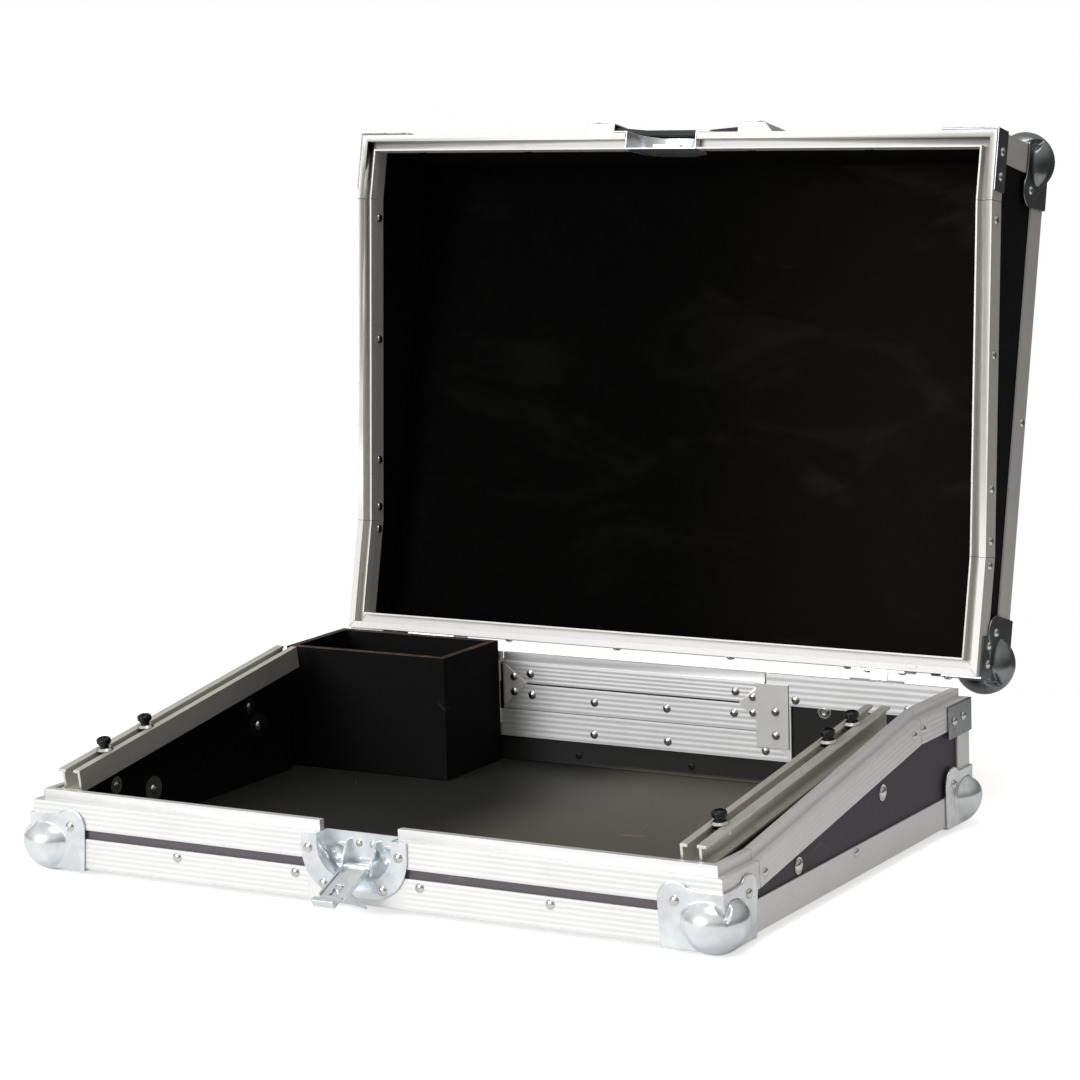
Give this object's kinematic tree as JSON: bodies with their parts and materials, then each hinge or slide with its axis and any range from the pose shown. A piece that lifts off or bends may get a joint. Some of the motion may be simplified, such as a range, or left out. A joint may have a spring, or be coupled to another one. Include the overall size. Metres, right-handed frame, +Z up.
{
  "type": "lighting controller flight case",
  "caption": "Shallow wedge-sided flight case for a rack-width desk controller, lid open, with rack rails, a cable box, a cable hatch, a recessed latch and a strap handle.",
  "frame": {"origin": "middle of the open case's outline on the floor, at the lowest point of the ball corners", "axes": "+X to the right hand of a person in front of the case, +Y to its back, +Z up; the base stands level and the lid is open"},
  "size_m": [0.522, 0.5556, 0.4722],
  "materials": {
    "board": "dark laminated plywood, satin",
    "black_wood": "black painted plywood, matt",
    "extrusion": "ribbed extrusion, satin",
    "rail": "extrusion, satin",
    "zinc_steel": "bright zinc plated sheet steel",
    "screw": "black steel screw with its plated nut",
    "foam": "thin black foam sheet, matt",
    "strap": "dark rubber strap, matt"
  },
  "bodies": {
    "base": {"base_bottom_panel": "board", "base_front_panel": "board", "base_rear_panel": "board", "base_left_panel": "board", "base_right_panel": "board", "base_edge_frame": "extrusion", "base_rim_front_left": "extrusion", "base_rim_front_right": "extrusion", "base_rim_left": "extrusion", "base_rim_right": "extrusion", "base_rim_rear_left": "extrusion", "base_rim_rear_right": "extrusion", "base_ball_corner_front_left": "zinc_steel", "base_ball_corner_front_right": "zinc_steel", "base_ball_corner_rear_left": "zinc_steel", "base_ball_corner_rear_right": "zinc_steel", "base_brace_left": "zinc_steel", "base_brace_right": "zinc_steel", "hatch_surround": "extrusion", "hatch_hinge_leaf_fixed": "zinc_steel", "cable_box": "black_wood", "rack_rail_left": "rail", "rack_rail_right": "rail", "rail_support_left": "black_wood", "rail_support_right": "black_wood", "latch_dish": "zinc_steel", "lid_hinge_base_leaf_left": "zinc_steel", "lid_hinge_base_leaf_right": "zinc_steel"},
    "lid": {"lid_top_panel": "board", "lid_front_panel": "board", "lid_rear_panel": "board", "lid_left_panel": "board", "lid_right_panel": "board", "lid_rim_frame": "extrusion", "lid_edge_frame": "extrusion", "lid_lining": "foam", "lid_latch_dish": "zinc_steel", "lid_ball_corner_front_left": "zinc_steel", "lid_ball_corner_front_right": "zinc_steel", "lid_ball_corner_rear_left": "zinc_steel", "lid_ball_corner_rear_right": "zinc_steel", "lid_brace_left": "zinc_steel", "lid_brace_right": "zinc_steel", "lid_hinge_lid_leaf_left": "zinc_steel", "lid_hinge_lid_leaf_right": "zinc_steel", "handle_cap_left": "zinc_steel", "handle_cap_right": "zinc_steel"},
    "handle": {"handle_strap": "strap"},
    "hatch_flap": {"hatch_panel": "board", "hatch_frame": "extrusion", "hatch_hinge_leaf_moving": "zinc_steel"},
    "latch_carrier": {"latch_carrier": "zinc_steel"},
    "latch_wing": {"latch_wing": "zinc_steel"},
    "latch_hook": {"latch_hook": "zinc_steel"},
    "rack_screw_left_1": {"rack_screw_left_1": "screw"},
    "rack_screw_left_2": {"rack_screw_left_2": "screw"},
    "rack_screw_right_1": {"rack_screw_right_1": "screw"},
    "rack_screw_right_2": {"rack_screw_right_2": "screw"},
    "rack_screw_right_3": {"rack_screw_right_3": "screw"}
  },
  "joints": [
    {"name": "lid_swing", "type": "hinge", "parent": "base", "child": "lid", "pos_m": [0, 0.13759, 0.0881], "axis": [1, 0, 0], "range_deg": [0, 102.8]},
    {"name": "handle_play", "type": "slide", "parent": "lid", "child": "handle", "axis": [1, 0, 0], "range_m": [-0.0024, 0.0024]},
    {"name": "hatch_swing", "type": "hinge", "parent": "base", "child": "hatch_flap", "pos_m": [0, 0.12999, 0.05265], "axis": [-1, 0, 0], "range_deg": [0, 170]},
    {"name": "latch_flip", "type": "hinge", "parent": "base", "child": "latch_carrier", "pos_m": [-0.0015, -0.23791, 0.0285], "axis": [-1, 0, 0], "range_deg": [0, 113]},
    {"name": "latch_turn", "type": "hinge", "parent": "latch_carrier", "child": "latch_wing", "pos_m": [-0.0015, -0.26, 0.01912], "axis": [0, -0.3907, 0.9205], "range_deg": [0, 180]},
    {"name": "latch_draw", "type": "slide", "parent": "latch_carrier", "child": "latch_hook", "axis": [0, 0.9205, 0.3907], "range_m": [0, 0.005]},
    {"name": "screw_slide_left_1", "type": "slide", "parent": "base", "child": "rack_screw_left_1", "axis": [0, 0.9893, 0.1461], "range_m": [-0.0335, 0.0165]},
    {"name": "screw_slide_left_2", "type": "slide", "parent": "base", "child": "rack_screw_left_2", "axis": [0, 0.9893, 0.1461], "range_m": [-0.0165, 0.166]},
    {"name": "screw_slide_right_1", "type": "slide", "parent": "base", "child": "rack_screw_right_1", "axis": [0, 0.9923, 0.1236], "range_m": [-0.0315, 0.07]},
    {"name": "screw_slide_right_2", "type": "slide", "parent": "base", "child": "rack_screw_right_2", "axis": [0, 0.9923, 0.1236], "range_m": [-0.07, 0.0115]},
    {"name": "screw_slide_right_3", "type": "slide", "parent": "base", "child": "rack_screw_right_3", "axis": [0, 0.9923, 0.1236], "range_m": [-0.0115, 0.0325]}
  ],
  "couplings": [
    {"joint": "latch_turn", "follows": "latch_draw", "rad_per_m": 628.3}
  ]
}
